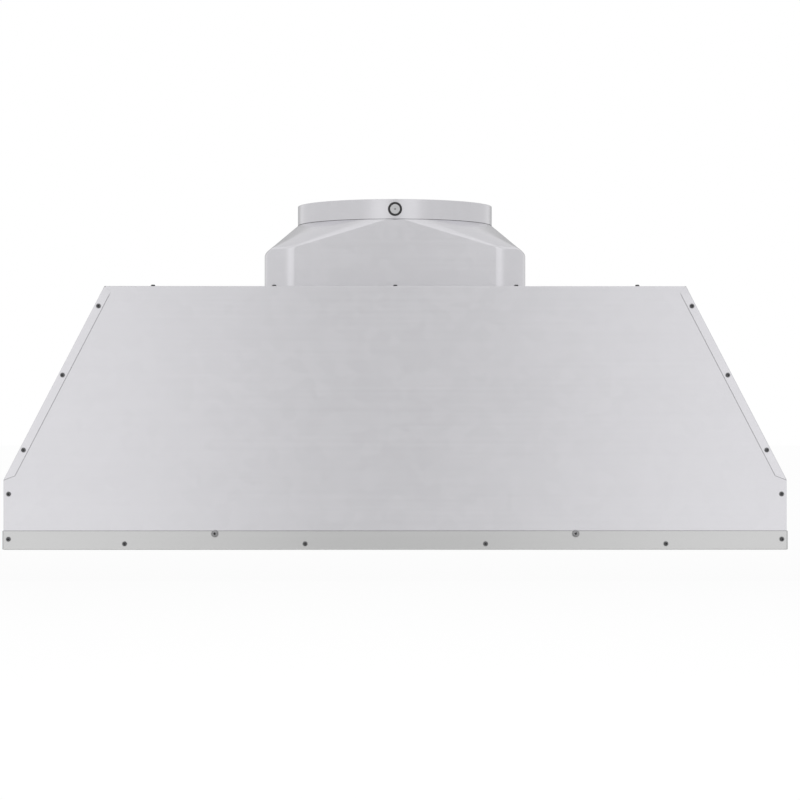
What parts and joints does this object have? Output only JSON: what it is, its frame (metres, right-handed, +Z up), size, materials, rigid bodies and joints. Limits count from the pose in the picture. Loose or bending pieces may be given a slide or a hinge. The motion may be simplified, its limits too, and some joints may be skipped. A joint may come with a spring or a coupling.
{
  "type": "range hood liner",
  "caption": "Sheet-steel range hood liner with sloping ends, a round duct collar with a butterfly damper, a blower, hinged baffle filters, lamps and push buttons.",
  "frame": {"origin": "centre of the foot of the rim, where the liner stands", "axes": "+Z up, the long front faces -Y, +X to the right seen from the front"},
  "size_m": [0.9144, 0.615, 0.4232],
  "materials": {
    "galvanised": "satin zinc-coated sheet",
    "stainless": "brushed stainless sheet",
    "filter_steel": "brushed stainless sheet",
    "handle_steel": "polished stainless wire",
    "black_screw": "blackened steel",
    "bright_screw": "plated steel",
    "black_rubber": "matt",
    "pin_steel": "turned steel",
    "chrome_trim": "polished",
    "lamp_lens": "frosted",
    "lamp_aluminium": "die-cast",
    "button_face": "satin plated",
    "switch_plastic": "matt",
    "blower_black": "dark zinc-coated",
    "motor_paint": "satin",
    "iron_core": "laminated core",
    "capacitor_case": "matt"
  },
  "bodies": {
    "housing": {"front_panel": "galvanised", "rear_panel": "galvanised", "left_side_panel": "galvanised", "right_side_panel": "galvanised", "top_plate": "galvanised", "duct_transition": "galvanised", "duct_collar": "galvanised", "left_scroll": "galvanised", "right_scroll": "galvanised", "inlet_rings": "galvanised", "junction_box": "galvanised", "junction_box_cover": "galvanised", "front_rim": "stainless", "rear_rim": "stainless", "left_rim": "stainless", "right_rim": "stainless", "lamp_panel": "stainless", "rear_rail": "stainless", "filter_hinge_rod": "stainless", "switch_bezel": "stainless", "panel_screws": "black_screw", "top_screws": "black_screw", "rail_screws": "bright_screw", "damper_bushes": "black_rubber", "damper_axle": "pin_steel", "motor_bearings": "pin_steel", "filter_catches": "pin_steel", "left_lamp_bezel": "chrome_trim", "right_lamp_bezel": "chrome_trim", "left_lamp_lens": "lamp_lens", "right_lamp_lens": "lamp_lens", "left_lamp_body": "lamp_aluminium", "right_lamp_body": "lamp_aluminium", "switch_block": "switch_plastic", "motor_casing": "motor_paint", "motor_stator": "iron_core", "capacitor": "capacitor_case"},
    "left_flap": {"left_damper_flap": "galvanised"},
    "right_flap": {"right_damper_flap": "galvanised"},
    "rotor": {"left_impeller": "blower_black", "right_impeller": "blower_black", "motor_shaft": "pin_steel", "motor_rotor": "iron_core"},
    "left_filter": {"left_filter_frame": "filter_steel", "left_filter_baffles": "filter_steel", "left_filter_handle": "handle_steel"},
    "middle_filter": {"middle_filter_frame": "filter_steel", "middle_filter_baffles": "filter_steel", "middle_filter_handle": "handle_steel"},
    "right_filter": {"right_filter_frame": "filter_steel", "right_filter_baffles": "filter_steel", "right_filter_handle": "handle_steel"},
    "push_button_1": {"button_1": "button_face"},
    "push_button_2": {"button_2": "button_face"},
    "push_button_3": {"button_3": "button_face"},
    "push_button_4": {"button_4": "button_face"},
    "push_button_5": {"button_5": "button_face"}
  },
  "joints": [
    {"name": "left_flap_hinge", "type": "hinge", "parent": "housing", "child": "left_flap", "pos_m": [0, 0, 0.41085], "axis": [0, 1, 0], "range_deg": [0, 80]},
    {"name": "right_flap_hinge", "type": "hinge", "parent": "housing", "child": "right_flap", "pos_m": [0, 0, 0.41085], "axis": [0, -1, 0], "range_deg": [0, 80]},
    {"name": "blower_spin", "type": "hinge", "parent": "housing", "child": "rotor", "pos_m": [0, -0.08, 0.1727], "axis": [1, 0, 0], "continuous": true},
    {"name": "left_filter_hinge", "type": "hinge", "parent": "housing", "child": "left_filter", "pos_m": [0, 0.2448, 0.032], "axis": [1, 0, 0], "range_deg": [0, 60]},
    {"name": "middle_filter_hinge", "type": "hinge", "parent": "housing", "child": "middle_filter", "pos_m": [0, 0.2448, 0.032], "axis": [1, 0, 0], "range_deg": [0, 60]},
    {"name": "right_filter_hinge", "type": "hinge", "parent": "housing", "child": "right_filter", "pos_m": [0, 0.2448, 0.032], "axis": [1, 0, 0], "range_deg": [0, 60]},
    {"name": "button_1_press", "type": "slide", "parent": "housing", "child": "push_button_1", "axis": [0, 0, 1], "range_m": [0, 0.0025], "stiffness_N_per_m": 400},
    {"name": "button_2_press", "type": "slide", "parent": "housing", "child": "push_button_2", "axis": [0, 0, 1], "range_m": [0, 0.0025], "stiffness_N_per_m": 400},
    {"name": "button_3_press", "type": "slide", "parent": "housing", "child": "push_button_3", "axis": [0, 0, 1], "range_m": [0, 0.0025], "stiffness_N_per_m": 400},
    {"name": "button_4_press", "type": "slide", "parent": "housing", "child": "push_button_4", "axis": [0, 0, 1], "range_m": [0, 0.0025], "stiffness_N_per_m": 400},
    {"name": "button_5_press", "type": "slide", "parent": "housing", "child": "push_button_5", "axis": [0, 0, 1], "range_m": [0, 0.0025], "stiffness_N_per_m": 400}
  ]
}
